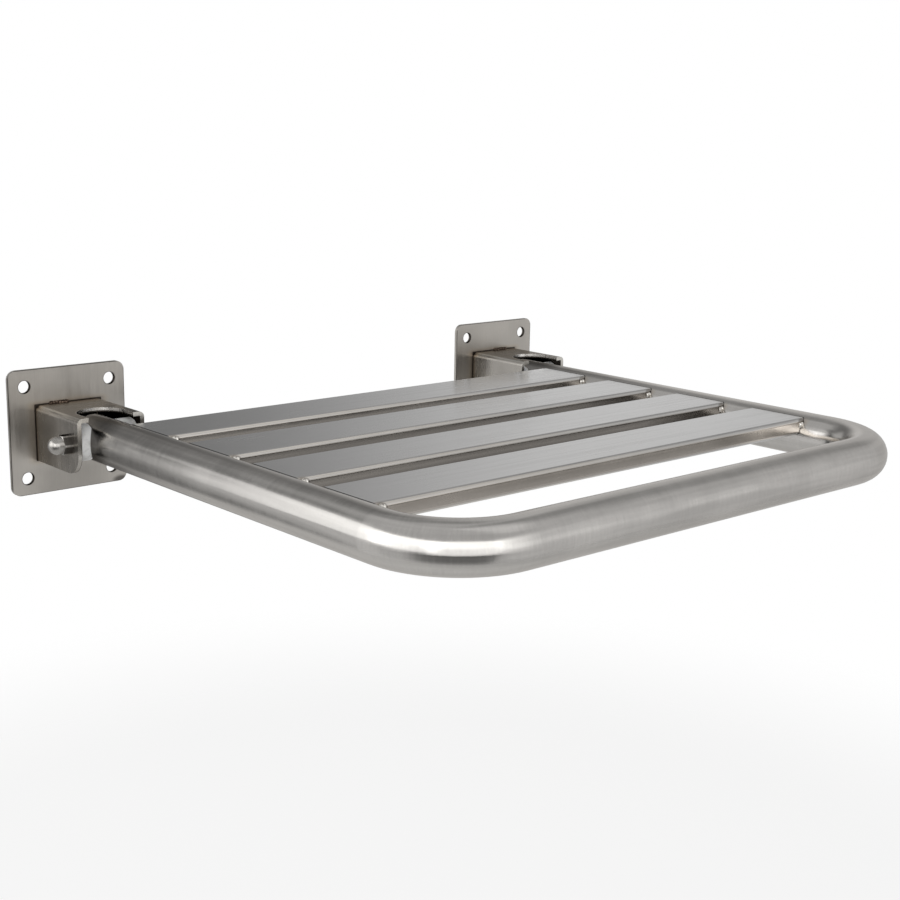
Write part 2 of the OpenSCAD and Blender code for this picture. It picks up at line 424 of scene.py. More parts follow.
class PieceGraph(NodeGraph):
    """The node tree of one new material, with measures of the shaded point.

    On the pieces of the seat, the point is in the frame of the CAD model.
    """

    def __init__(self, name: str) -> None:
        """Starts a material.

        Args:
            name: name of the material.
        """
        self.material = bpy.data.materials.new(name)
        self.material.use_nodes = True
        super().__init__(self.material.node_tree)
        coordinates = self.node("TexCoord").outputs
        self.point = coordinates["Object"]
        self.facing = coordinates["Normal"]
        self.x, self.y, self.z = self.parts(self.point)
        self.off_wall = self.times(self.y, -1.0)
        self.out = self.unsigned(self.x)
        self.inward = self.maths("SUBTRACT", SIZES.arm_x, self.out)
        self.across = self.unsigned(self.inward)

    def shaded(self, **inputs: object) -> bpy.types.Material:
        """Ends the material in a Principled shader.

        Args:
            inputs: inputs of the shader, as feed takes them.

        Returns:
            The finished material.
        """
        shader = self.feed(self.node("BsdfPrincipled"), **inputs)
        self.plug(shader.outputs[0], self.node("OutputMaterial").inputs[0])
        return self.material

    def from_hinge(self) -> Number:
        """Distance from the line of the hinge bolts."""
        return self.length(self.add(self.y, SIZES.pivot_y), self.z)

    def from_hole(self) -> Number:
        """Distance from the middle of a plate's nearest screw hole."""
        return self.length(self.add(self.across, -SIZES.hole_at),
                           self.add(self.unsigned(self.z), -SIZES.hole_at))

    def from_tack(self, inset: float = 0.0, squeeze: float = 1.0) -> Number:
        """Distance from the nearest tack of the slats.

        Args:
            inset: how far inside the tube's inner side the tack's middle is taken.
            squeeze: share that the distance along X counts for.

        Returns:
            The distance.
        """
        half = SIZES.slat_pitch / 2
        along_slat = self.times(self.add(self.out, inset - SIZES.tack_x), squeeze)
        past_front = self.add(self.off_wall, -SIZES.slat_front_y(1))
        return self.length(along_slat, self.maths("WRAP", past_front, half, -half),
                           self.add(self.z, -SIZES.tack_z))

    def off_bracket(self) -> tuple[Number, Number]:
        """How far the point lies outside the foot of a bracket.

        Returns:
            The distances beside it and over or under it, each at least 0.
        """
        beside = self.most(self.add(self.across, -SIZES.ear_out_x), 0.0)
        over = self.add(self.z, -SIZES.web_top_z)
        under = self.add(self.times(self.z, -1.0), SIZES.ear_foot_z)
        return beside, self.most(over, under, 0.0)

    def tube_route(self) -> tuple[Number, Number, Number]:
        """Where the point lies on the bent tube.

        Returns:
            Distance along the tube, offset from its middle, and its direction.
        """
        sideways = self.add(self.out, -SIZES.bend_x)
        ahead = self.add(self.off_wall, -SIZES.bend_y)
        sideways_in_bend = self.most(sideways, 0.0)
        ahead_in_bend = self.most(ahead, 0.0)
        turn = self.maths("ARCTAN2", ahead_in_bend, sideways_in_bend)
        along = self.add(
            self.maths("MINIMUM", ahead, 0.0),
            self.times(turn, SIZES.bend_r),
            self.most(self.times(sideways, -1.0), 0.0),
        )
        from_centre = self.length(sideways_in_bend, ahead_in_bend)
        across_bar = self.times(self.maths("SIGN", self.x), self.maths("SINE", turn), -1.0)
        along_arm = self.times(self.maths("COSINE", turn), -1.0)
        direction = self.vector(across_bar, along_arm)
        return along, self.add(from_centre, -SIZES.bend_r), direction


@dataclass(frozen=True)
class WeldTintAndShade:
    """Straw and brown heat tint round the welds; on the plates beside the brackets it also
    stands in as painted shade of the ears.
    """

    reach: float
    strength: float
    straw: Triple = (0.40, 0.33, 0.24)
    straw_until: float = 0.62
    brown: Triple = (0.15, 0.115, 0.09)
    plate_depth_factor: float = 4.0
    low_ear_factor: float = 2.6
    low_ear_from: float = 5 * MM
    low_ear_to: float = 1 * MM
    beyond_factor: float = 2.0

    def distance(self, graph: PieceGraph, lay: GrainLay) -> Number:
        """Distance from the nearest weld, longer where the tint is to end sooner.

        Args:
            graph: the tree of the piece's material.
            lay: the lay of the piece's grain, which tells the pieces apart.

        Returns:
            The distance.
        """
        if lay in (GrainLay.ALONG_X, GrainLay.ROUND_TUBE):
            return graph.from_tack()
        # On the plates, the tint reaching out beside a bracket is also painted shade of its
        # ears.
        beside, beyond = graph.off_bracket()
        factor: Number = self.plate_depth_factor
        if lay is GrainLay.OVER_FOLDS:
            factor = graph.span(graph.z, SIZES.web_top_z - self.low_ear_from,
                                SIZES.web_top_z - self.low_ear_to, self.low_ear_factor, 1.0)
        off_plate = graph.times(graph.add(graph.y, SIZES.plate_t), factor)
        return graph.length(beside, off_plate, graph.times(beyond, self.beyond_factor))

    def over(self, graph: PieceGraph, lay: GrainLay, colour: Number) -> Number:
        """Lays the tint over a colour.

        Args:
            graph: the tree of the piece's material.
            lay: the lay of the piece's grain.
            colour: the steel's own colour.

        Returns:
            The tinted colour.
        """
        near = graph.fall(self.distance(graph, lay), 0.0, self.reach)
        bands = graph.ramp(near, (0.0, self.straw), (self.straw_until, self.straw),
                           (1.0, self.brown))
        return graph.mix(graph.times(near, self.strength), colour, bands)


@dataclass(frozen=True)
class Grime:
    """Near-black painted shade and painted dark reflections, with the steel's dark joints, soot,
    rims and hole walls.
    """

    # The near-black of the painted shade, the painted dark reflections, the dark joints and the
    # soot.
    colour: Triple = (0.016, 0.012, 0.009)
    # Painted shade inside a bracket, where its ears and web shade each other.
    inside_shade_share: float = 0.93
    inside_shade_edge: float = 0.5 * MM
    foot_edge: float = 1 * MM
    seam: float = 0.9 * MM
    plate_seam_core: float = 0.3
    slat_seam_core: float = 0.35
    plate_seam_share: float = 0.85
    bracket_seam_share: float = 0.8
    slat_seam_share: float = 0.9
    plate_front: tuple[float, float] = (2.1 * MM, 2.6 * MM)
    rim: tuple[float, float] = (0.6 * MM, 0.2 * MM)
    hole_rim: tuple[float, float] = (0.1 * MM, 0.7 * MM)
    rim_share: float = 0.75
    # Painted shade on a plate below its bracket.
    under_shade_foot: float = 32 * MM
    under_shade_inner: float = 0.6
    under_shade_outer: float = 1.5
    under_shade_share: float = 0.16
    # A painted dark reflection of the tube in a plate's lower inner corner.
    tube_reflection_at: tuple[float, float] = (40 * MM, -44 * MM)
    tube_reflection_squeeze: float = 0.5
    tube_reflection_r: tuple[float, float] = (1.5 * MM, 4.5 * MM)
    tube_reflection_share: float = 0.7
    hole_wall: float = 0.2 * MM
    hole_depth: tuple[float, float] = (0.3 * MM, 0.8 * MM)
    hole_share: float = 0.9
    soot_inset: float = 1.3 * MM
    soot_squeeze: float = 0.66
    soot_r: tuple[float, float] = (2.5 * MM, 3.5 * MM)
    soot_share: float = 0.42
    # Painted dark reflection on the hex flats, kept off their corners so that their own
    # highlights show.
    nut_edge: float = 0.6 * MM
    nut_flat_shade_share: float = 0.78
    nut_corner_r: tuple[float, float] = (6.95 * MM, 7.25 * MM)
    # Painted shade on the tube near the hinge and along its belly.
    tube_belly_shade_z: tuple[float, float] = (-11 * MM, -3 * MM)
    tube_belly_shade: Triple = (85 * MM, 150 * MM, 0.5)
    tube_near_shade: Triple = (66 * MM, 108 * MM, 0.62)
    tube_far_shade: Triple = (80 * MM, 210 * MM, 0.24)

    def shade_inside_bracket(self, graph: PieceGraph) -> Number:
        """Share of painted shade on the inner faces of a bracket and on the plate between its
        ears.

        Args:
            graph: the tree of the piece's material.

        Returns:
            The share.
        """
        return graph.times(
            graph.fall(graph.across, SIZES.ear_in_x, SIZES.ear_in_x + self.inside_shade_edge),
            graph.fall(graph.z, SIZES.web_in_z, SIZES.web_in_z + self.inside_shade_edge),
            graph.span(graph.z, SIZES.ear_foot_z - self.foot_edge, SIZES.ear_foot_z),
            self.inside_shade_share,
        )

    def on_plate(self, graph: PieceGraph) -> Number:
        """Share on the face of a plate: darker rim and holes, dark seam, painted shade below the
        bracket and a painted dark reflection of the tube.

        Args:
            graph: the tree of the plate's material.

        Returns:
            The share.
        """
        from_middle = graph.most(graph.across, graph.unsigned(graph.z))
        rim = graph.span(from_middle, *(SIZES.plate_half - inset for inset in self.rim))
        hole = graph.fall(graph.from_hole(), *(SIZES.hole_r + wider for wider in self.hole_rim))
        under_shade = graph.times(
            graph.span(graph.times(graph.z, -1.0), -SIZES.ear_foot_z, self.under_shade_foot),
            graph.fall(graph.across, self.under_shade_inner * SIZES.ear_out_x,
                       self.under_shade_outer * SIZES.ear_out_x),
        )
        beside, beyond = graph.off_bracket()
        seam = graph.fall(graph.length(beside, beyond),
                          self.plate_seam_core * self.seam, self.seam)
        reflection_x, reflection_z = self.tube_reflection_at
        tube_reflection = graph.fall(
            graph.length(graph.times(graph.add(graph.inward, -reflection_x), self.tube_reflection_squeeze),
                         graph.add(graph.z, -reflection_z)),
            *self.tube_reflection_r, self.tube_reflection_share)
        return graph.most(
            graph.times(graph.most(rim, hole), self.rim_share), tube_reflection,
            graph.times(under_shade, self.under_shade_share), graph.times(seam, self.plate_seam_share))

    def in_holes(self, graph: PieceGraph) -> Number:
        """Share on the walls of a plate's holes, short of its back.

        Args:
            graph: the tree of the plate's material.

        Returns:
            The share.
        """
        return graph.times(
            graph.fall(graph.from_hole(), SIZES.hole_r, SIZES.hole_r + self.hole_wall,
                       self.hole_share),
            graph.span(graph.off_wall, *self.hole_depth),
        )

    def on_slat_end(self, graph: PieceGraph) -> Number:
        """Share along the joint of a slat and the tube, a dark joint that also holds painted
        shade, and of soot round a tack.

        Args:
            graph: the tree of the slat's material.

        Returns:
            The share.
        """
        from_tube = graph.add(graph.length(graph.inward, graph.z), -SIZES.tube_r)
        # Dark joint line, darkened further as painted shade of the gap between slat and tube.
        joint = graph.fall(from_tube, self.slat_seam_core * self.seam, self.seam,
                           self.slat_seam_share)
        ring = graph.from_tack(self.soot_inset, self.soot_squeeze)
        return graph.most(graph.fall(ring, *self.soot_r, self.soot_share), joint)

    def shade_on_nut(self, graph: PieceGraph) -> Number:
        """Share of painted dark reflection on the flats of nuts and bolt heads; it stops short
        of their corners.

        Args:
            graph: the tree of the hardware's material.

        Returns:
            The share.
        """
        hex_end = SIZES.nut_hex_x - SIZES.arm_x
        return graph.times(
            graph.fall(graph.across, hex_end - self.nut_edge, hex_end, self.nut_flat_shade_share),
            graph.fall(graph.from_hinge(), *self.nut_corner_r),
        )

    def shade_on_tube(self, graph: PieceGraph) -> Number:
        """Share of painted shade on the tube: most at the hinge, and further along its belly.

        Args:
            graph: the tree of the tube's material.

        Returns:
            The share.
        """
        belly = graph.times(graph.fall(graph.z, *self.tube_belly_shade_z),
                            graph.fall(graph.off_wall, *self.tube_belly_shade))
        return graph.most(belly, graph.fall(graph.off_wall, *self.tube_near_shade),
                          graph.fall(graph.off_wall, *self.tube_far_shade))

    def share(self, graph: PieceGraph, lay: GrainLay) -> Number:
        """Share of painted shade, painted dark reflection, dark joints and soot on a piece.

        Args:
            graph: the tree of the piece's material.
            lay: the lay of the piece's grain, which tells the pieces apart.

        Returns:
            The share.
        """
        if lay is GrainLay.ALONG_X:
            return self.on_slat_end(graph)
        if lay is GrainLay.TURNED:
            return self.shade_on_nut(graph)
        if lay is GrainLay.ROUND_TUBE:
            return self.shade_on_tube(graph)
        # Painted shade inside the bracket, on bracket and plate alike.
        inside = self.shade_inside_bracket(graph)
        if lay is GrainLay.UPRIGHT:
            front = graph.span(graph.off_wall, *self.plate_front)
            face = graph.times(graph.most(inside, self.on_plate(graph)), front)
            return graph.most(face, self.in_holes(graph))
        foot = graph.fall(graph.off_wall, SIZES.plate_t, SIZES.plate_t + self.seam,
                          self.bracket_seam_share)
        return graph.most(inside, foot)


@dataclass(frozen=True)
class EdgeHighlightAndShade:
    """Painted highlights on a bracket's notch rim and nose, and painted shade below the rim."""

    # Painted highlight on the bracket's nose, dimmer lower down.
    nose: Triple = (0.66, 0.64, 0.60)
    nose_highlight_share: float = 0.85
    low_share: float = 0.3
    low_by: float = 7 * MM
    # Painted highlight on the upper rim of the notch.
    notch: Triple = (0.96, 0.94, 0.91)
    notch_z: tuple[float, float] = (17.0 * MM, 17.5 * MM)
    # Painted shade at the foot of the notch's cut.
    notch_foot_shade: Triple = (0.06, 0.052, 0.044)
    notch_foot_shade_share: float = 0.8
    width: float = 0.55 * MM
    faded: float = 0.1 * MM
    under_edge: float = 0.3 * MM

    def over(self, graph: PieceGraph, colour: Number) -> Number:
        """Lays the painted highlights over a colour, and painted shade at the foot of the
        notch's cut.

        Args:
            graph: the tree of the bracket's material.
            colour: the steel's own colour.

        Returns:
            The colour with its painted edge highlights and shade.
        """
        behind = graph.most(graph.add(graph.y, SIZES.pivot_y), 0.0)
        wall = graph.fall(graph.length(graph.inward, behind),
                          SIZES.notch_r + self.faded, SIZES.notch_r + self.width)
        foot = graph.times(
            wall, graph.fall(graph.z, *self.notch_z, self.notch_foot_shade_share),
            graph.span(graph.z, SIZES.web_in_z - self.under_edge, SIZES.web_in_z))
        upper = graph.times(wall, graph.span(graph.z, *self.notch_z))
        nose = graph.times(
            graph.span(graph.off_wall, SIZES.nose_y - self.width, SIZES.nose_y - self.faded),
            graph.span(graph.z, SIZES.web_in_z - self.low_by, SIZES.web_in_z,
                       self.low_share, 1.0),
            self.nose_highlight_share)
        for share, shade in ((foot, self.notch_foot_shade), (upper, self.notch), (nose, self.nose)):
            colour = graph.mix(share, colour, shade)
        return colour


@dataclass(frozen=True)
class FoldHighlightAndShade:
    """Painted highlight and painted shade along the outer curve of a bracket's fold."""

    # Painted shade, by how far the fold has turned.
    dark: Triple = (0.05, 0.043, 0.037)
    dark_share: float = 0.32
    dark_turn: tuple[float, float] = (12, 46)
    # Painted highlight, by how far the fold has turned.
    bright: Triple = (0.62, 0.60, 0.56)
    bright_share: float = 0.8
    bright_turn: tuple[float, float] = (46, 84)

    def over(self, graph: PieceGraph, colour: Number) -> Number:
        """Lays the painted highlight and shade over a colour.

        Args:
            graph: the tree of the bracket's material.
            colour: the steel's own colour.

        Returns:
            The colour with the two lines.
        """
        turn = graph.maths("DEGREES", graph.maths(
            "ARCTAN2", graph.add(graph.z, SIZES.fold_out_r - SIZES.web_top_z),
            graph.add(graph.across, SIZES.fold_out_r - SIZES.ear_out_x)))
        for shade, share, (start, end) in (
            (self.dark, self.dark_share, self.dark_turn),
            (self.bright, self.bright_share, self.bright_turn),
        ):
            middle = (start + end) / 2
            line = graph.times(graph.band(turn, start, middle, middle, end), share)
            colour = graph.mix(line, colour, shade)
        return colour


@dataclass(frozen=True)
class SlatHighlightAndShade:
    """Painted shade on the slats' upright sides and painted light lines on their front edges."""

    # Painted shade on the upright sides: a warm tint, darkest at the foot between two slats and
    # on faces towards the wall; the last slat's front and the left ends are lighter.
    tone: Triple = (0.87, 0.82, 0.76)
    side_facing: tuple[float, float] = (0.86, 0.98)
    at_foot: float = 0.28
    last_at_foot: float = 0.9
    shut_in: float = 0.68
    first_shut_in: float = 0.93
    first_until: tuple[float, float] = (2 * MM, 6 * MM)
    last_from: tuple[float, float] = (2 * MM, 1 * MM)
    rear: float = 0.5
    left_x: tuple[float, float] = (-190 * MM, -40 * MM)
    left_lift: float = 1.2
    # A painted glint on the last slat's front, towards its right end.
    glow_x: tuple[float, float] = (105 * MM, 160 * MM)
    glow: float = 0.7
    # A painted highlight on the front rounding and painted shade just above it, both fading
    # towards the right.
    strip: Triple = (1.22, 1.17, 1.10)
    strip_facing: tuple[float, ...] = (-0.93, -0.82, -0.62, -0.42)
    crease: Triple = (0.80, 0.79, 0.78)
    crease_facing: tuple[float, ...] = (-0.46, -0.34, -0.14, -0.04)
    fade_right_x: tuple[float, float] = (-60 * MM, 90 * MM)
    right_share: float = 0.25

    def side_level(self, graph: PieceGraph, facing: Number) -> Number:
        """How bright the slats' sides are under their painted shade, as a share of the steel's
        own tone.

        Args:
            graph: the tree of the slats' material.
            facing: how far the face turns towards the wall, from -1 to 1.

        Returns:
            The share, lowest at the foot of the sides between two slats.
        """
        first, last = SIZES.slat_front_y(1), SIZES.slat_front_y(SIZES.slats)
        alone = graph.span(graph.off_wall, *(last - behind for behind in self.last_from))
        depth = graph.span(graph.z, SIZES.slat_foot_z, SIZES.tack_z, self.at_foot, 1.0)
        among = graph.span(graph.off_wall, *(first + ahead for ahead in self.first_until),
                           self.first_shut_in, self.shut_in)
        glow = graph.times(alone, graph.span(graph.x, *self.glow_x, 0.0, self.glow))
        return graph.times(
            graph.most(depth, graph.times(alone, self.last_at_foot)),
            graph.blend(alone, among, 1.0),
            graph.span(facing, 0.0, 0.9, 1.0, self.rear),
            graph.span(graph.x, *self.left_x, self.left_lift, 1.0),
            graph.add(glow, 1.0))

    def over(self, graph: PieceGraph, colour: Number) -> Number:
        """Lays the painted light and shade over a colour.

        Args:
            graph: the tree of the slats' material.
            colour: the steel's own colour.

        Returns:
            The colour, with painted light lines on the front edges and painted shade on the
            upright sides.
        """
        facing = graph.parts(graph.facing)[1]
        fade_right = graph.span(graph.x, *self.fade_right_x, 1.0, self.right_share)
        for shade, faces in ((self.strip, self.strip_facing), (self.crease, self.crease_facing)):
            colour = graph.stained(graph.times(graph.band(facing, *faces), fade_right), colour, shade)
        sides = graph.span(graph.unsigned(facing), *self.side_facing)
        level = graph.stained(1.0, self.tone, graph.grey(self.side_level(graph, facing)))
        return graph.stained(sides, colour, level)


@dataclass(frozen=True)
class BrushedSteel:
    """Stainless steel after a belt or a pad, with grooves that run one way."""

    name: str
    lay: GrainLay
    rough: float
    stretch: float
    groove: float
    groove_run: float
    contrast: float
    blotch: float
    colour: Triple = (0.50, 0.485, 0.465)
    groove_weight: float = 0.7
    depth: float = 0.004 * MM
    streak_scale: float = 0.23
    cloud_scale: float = 32.0
    rough_spread: float = 0.04
    cloud_rough: float = 0.03
    wipe: float = 0.0
    wipe_scale: tuple[float, float] = (11.0, 210.0)
    edge_tint: Triple = (1.0, 1.0, 1.0)
    # The marks below: painted light and shade on slats, folds and cut edges, heat tint that also
    # paints shade beside the brackets, and near-black painted shade with dark joints and soot.
    slat_highlight_and_shade: Optional[SlatHighlightAndShade] = None
    fold_highlight_and_shade: Optional[FoldHighlightAndShade] = None
    tint: Optional[WeldTintAndShade] = None
    grime: Grime = Grime()
    edge_highlight_and_shade: Optional[EdgeHighlightAndShade] = None

    def place_and_stretch(self, graph: PieceGraph) -> tuple[Number, Number]:
        """Coordinates across and along the grooves, and the way gloss spreads.

        Args:
            graph: the tree of the piece's material.

        Returns:
            A place in grooves, and the direction across the grooves.
        """
        across, run = 1 / self.groove, 1 / self.groove_run
        if self.lay is GrainLay.ROUND_TUBE:
            along, offset, direction = graph.tube_route()
            place = graph.vector(graph.times(along, across), graph.times(offset, run),
                                 graph.times(graph.z, run))
            return place, graph.world_vector(direction)
        scales = {
            GrainLay.ALONG_X: ((run, across, across), None),
            GrainLay.UPRIGHT: ((across, across, run), (1.0, 0.0, 0.0)),
            GrainLay.OVER_FOLDS: ((run, across, run), (0.0, 1.0, 0.0)),
            GrainLay.TURNED: ((across, run, run), (1.0, 0.0, 0.0)),
        }
        scale, direction = scales[self.lay]
        terms = zip((graph.x, graph.y, graph.z), scale)
        place = graph.vector(*(graph.times(term, factor) for term, factor in terms))
        if direction is None:
            return place, graph.node("Tangent", direction_type="RADIAL", axis="X").outputs[0]
        return place, graph.world_vector(graph.vector(*direction))

    def wiped(self, graph: PieceGraph, tone: Number) -> Number:
        """Adds the faint lines that a cloth leaves along the tube.

        Args:
            graph: the tree of the tube's material.
            tone: the tone so far.

        Returns:
            The new tone.
        """
        along, offset, _ = graph.tube_route()
        lengthwise, sideways = self.wipe_scale
        place = graph.vector(graph.times(along, lengthwise), graph.times(offset, sideways),
                             graph.times(graph.z, sideways))
        lines = graph.span(graph.noise(place, 1.0), *NOISE_RANGE,
                           1 - self.wipe, 1 + self.wipe)
        return graph.times(tone, lines)

    def material(self) -> bpy.types.Material:
        """Builds the material.

        Returns:
            The new material.
        """
        graph = PieceGraph(self.name)
        place, across = self.place_and_stretch(graph)
        grooves = graph.noise(place, 1.0, detail=3.0, rough=0.62)
        streaks = graph.noise(place, self.streak_scale, rough=0.55)
        clouds = graph.noise(graph.point, self.cloud_scale, detail=3.0, rough=0.55)
        grain = graph.add(graph.times(grooves, self.groove_weight),
                          graph.times(streaks, 1 - self.groove_weight))
        tone = graph.times(
            graph.span(grain, *GRAIN_RANGE, 1 - self.contrast, 1 + self.contrast,
                       smooth=False),
            graph.span(clouds, *CLOUD_RANGE, 1 - self.blotch, 1 + self.blotch),
        )
        if self.wipe:
            tone = self.wiped(graph, tone)
        colour = graph.stained(1.0, self.colour, graph.grey(tone))
        # Painted light and shade on the slats' sides and edges and along the brackets' folds.
        for painted_light in (self.slat_highlight_and_shade, self.fold_highlight_and_shade):
            if painted_light is not None:
                colour = painted_light.over(graph, colour)
        if self.tint is not None:
            colour = self.tint.over(graph, self.lay, colour)
        # Near-black painted shade and painted dark reflections, with dark joints and soot,
        # darken the colour and the grazing gloss.
        share = self.grime.share(graph, self.lay)
        colour = graph.mix(share, colour, self.grime.colour)
        grazing = graph.mix(share, self.edge_tint, self.grime.colour)
        # Painted highlights on the brackets' cut edges, with painted shade at the foot of the
        # notch.
        if self.edge_highlight_and_shade is not None:
            colour = self.edge_highlight_and_shade.over(graph, colour)
        rough = graph.add(
            graph.span(streaks, *NOISE_RANGE, -self.rough_spread, self.rough_spread),
            graph.span(clouds, *NOISE_RANGE, self.rough - self.cloud_rough,
                       self.rough + self.cloud_rough),
        )
        return graph.shaded(Base_Color=colour, Metallic=1.0, Roughness=rough,
                            Anisotropic=self.stretch, Tangent=across, Specular_Tint=grazing,
                            Normal=graph.bump(grooves, self.depth))


@dataclass(frozen=True)
class WeldMetal:
    """The bead that a torch leaves: bright ripples with dark oxide between them."""

    name: str
    bright: Triple
    oxide: Triple
    oxide_share: float
    oxide_edge: float = 0.22
    rough: tuple[float, float] = (0.5, 0.22)
    patch_scale: float = 900.0
    speck_scale: float = 2600.0
    speck_depth: float = 0.05 * MM

    def material(self) -> bpy.types.Material:
        """Builds the material.

        Returns:
            The new material.
        """
        graph = PieceGraph(self.name)
        patches = graph.noise(graph.point, self.patch_scale, detail=3.0, rough=0.6)
        specks = graph.noise(graph.point, self.speck_scale, rough=0.6)
        clean = graph.span(patches, self.oxide_share, self.oxide_share + self.oxide_edge)
        return graph.shaded(Base_Color=graph.mix(clean, self.oxide, self.bright), Metallic=1.0,
                            Roughness=graph.span(patches, *PATCH_RANGE, *self.rough),
                            Normal=graph.bump(specks, self.speck_depth))


@dataclass(frozen=True)
class Nylon:
    """Natural nylon: off-white, a little cloudy, with a fine turned grain."""

    name: str = "natural_nylon"
    colour: Triple = (0.86, 0.86, 0.85)
    # The bushes' own dirt, more of it towards their rim.
    grime: Triple = (0.42, 0.40, 0.37)
    grime_r: tuple[float, float] = (9 * MM, 13 * MM)
    grime_share: tuple[float, float] = (0.15, 0.6)
    rough: tuple[float, float] = (0.36, 0.52)
    cloud_scale: float = 160.0
    grain_scale: float = 2800.0
    grain_run: float = 0.06
    grain_depth: float = 0.02 * MM
    glow: float = 0.15
    glow_depth: Triple = (3 * MM, 3 * MM, 2.5 * MM)

    def material(self) -> bpy.types.Material:
        """Builds the material.

        Returns:
            The new material.
        """
        graph = PieceGraph(self.name)
        cloud = graph.noise(graph.point, self.cloud_scale, detail=3.0, rough=0.6)
        place = graph.vector(graph.x, graph.times(graph.y, self.grain_run),
                             graph.times(graph.z, self.grain_run))
        grain = graph.noise(place, self.grain_scale, detail=1.0)
        dirt = graph.times(graph.span(cloud, *STAIN_RANGE),
                           graph.span(graph.from_hinge(), *self.grime_r, *self.grime_share))
        return graph.shaded(
            Base_Color=graph.mix(dirt, self.colour, self.grime),
            Roughness=graph.span(cloud, *NOISE_RANGE, *self.rough),
            Normal=graph.bump(grain, self.grain_depth),
            Subsurface_Weight=self.glow, Subsurface_Radius=self.glow_depth)


def add_object(name: str, data: bpy.types.ID) -> bpy.types.Object:
    """Makes an object and links it to the scene.

    Args:
        name: name of the object.
        data: its mesh, lamp or camera.

    Returns:
        The new object.
    """
    made = bpy.data.objects.new(name, data)
    bpy.context.scene.collection.objects.link(made)
    return made


def add_mesh(name: str, mesh: bmesh.types.BMesh,
             material: bpy.types.Material) -> bpy.types.Object:
    """Makes an object of a drawn mesh.

    Args:
        name: name of the object.
        mesh: its mesh, which is used up.
        material: its finish.

    Returns:
        The new object.
    """
    data = bpy.data.meshes.new(name)
    mesh.to_mesh(data)
    mesh.free()
    data.materials.append(material)
    return add_object(name, data)


def dress(node: str, material: bpy.types.Material) -> bpy.types.Object:
    """Gives a CAD node its finish.

    Args:
        node: name of the node.
        material: its new material.

    Returns:
        The node's object.
    """
    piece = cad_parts[node]
    for slot in piece.material_slots:
        slot.material = material
    LOG.info("dressed %s in %s", node, material.name)
    return piece


def soften_edges(piece: bpy.types.Object, width: float) -> None:
    """Gives a CAD node the small round edges that catch the light.

    Args:
        piece: the node's object; its mesh stays as it is.
        width: width of the rounding.
    """
    flat = piece.modifiers.new("one face per plane", "DECIMATE")
    flat.decimate_type = "DISSOLVE"
    flat.angle_limit = math.radians(FLAT_DEGREES)
    edge = piece.modifiers.new("broken edges", "BEVEL")
    edge.width = width
    edge.segments = EDGE_SEGMENTS
    edge.limit_method = "ANGLE"
    edge.angle_limit = math.radians(SHARP_DEGREES)
    edge.use_clamp_overlap = True
    edge.harden_normals = False
    piece.modifiers.new("even shading", "WEIGHTED_NORMAL").keep_sharp = False


@dataclass
class WallPlates:
    """The two square plates that are screwed to the wall."""

    edge: float = 0.5 * MM
    steel: BrushedSteel = field(default_factory=lambda: BrushedSteel(
        "plate_brushed_upright", GrainLay.UPRIGHT, colour=(0.44, 0.417, 0.385), rough=0.36,
        stretch=0.45, groove=0.6 * MM, groove_run=22 * MM, contrast=0.06, blotch=0.07,
        tint=WeldTintAndShade(reach=9 * MM, strength=0.5)))

    def build(self) -> None:
        """Dresses both plates."""
        material = self.steel.material()
        for side in Side:
            soften_edges(dress(f"{side.word}_wall_plate", material), self.edge)


@dataclass
class HingeBrackets:
    """The two folded brackets that are welded to the plates."""

    edge: float = 0.5 * MM
    steel: BrushedSteel = field(default_factory=lambda: BrushedSteel(
        "bracket_satin_folded", GrainLay.OVER_FOLDS, colour=(0.38, 0.36, 0.332), rough=0.26,
        stretch=0.3, groove=0.6 * MM, groove_run=18 * MM, depth=0.0004 * MM, contrast=0.02,
        blotch=0.10, rough_spread=0.02, edge_tint=(0.5, 0.48, 0.46), fold_highlight_and_shade=FoldHighlightAndShade(),
        tint=WeldTintAndShade(reach=12 * MM, strength=0.8), edge_highlight_and_shade=EdgeHighlightAndShade()))

    def build(self) -> None:
        """Dresses both brackets."""
        material = self.steel.material()
        for side in Side:
            soften_edges(dress(f"{side.word}_hinge_bracket", material), self.edge)


@dataclass
class HingeHardware:
    """The bolts and dome nuts of the two hinges, and their nylon bushes."""

    edge: float = 0.3 * MM
    steel: BrushedSteel = field(default_factory=lambda: BrushedSteel(
        "fastener_turned", GrainLay.TURNED, colour=(0.35, 0.338, 0.32), rough=0.29,
        stretch=0.2, groove=0.3 * MM, groove_run=8 * MM, depth=0.001 * MM, contrast=0.08,
        blotch=0.08))
    nylon: Nylon = Nylon()

    def build(self) -> None:
        """Dresses the bolts, nuts and bushes."""
        steel, nylon = self.steel.material(), self.nylon.material()
        for side in Side:
            for kind in ("hinge_bolt", "dome_nut"):
                soften_edges(dress(f"{side.word}_{kind}", steel), self.edge)
            for place in ("outer", "inner"):
                dress(f"{side.word}_{place}_bush", nylon)


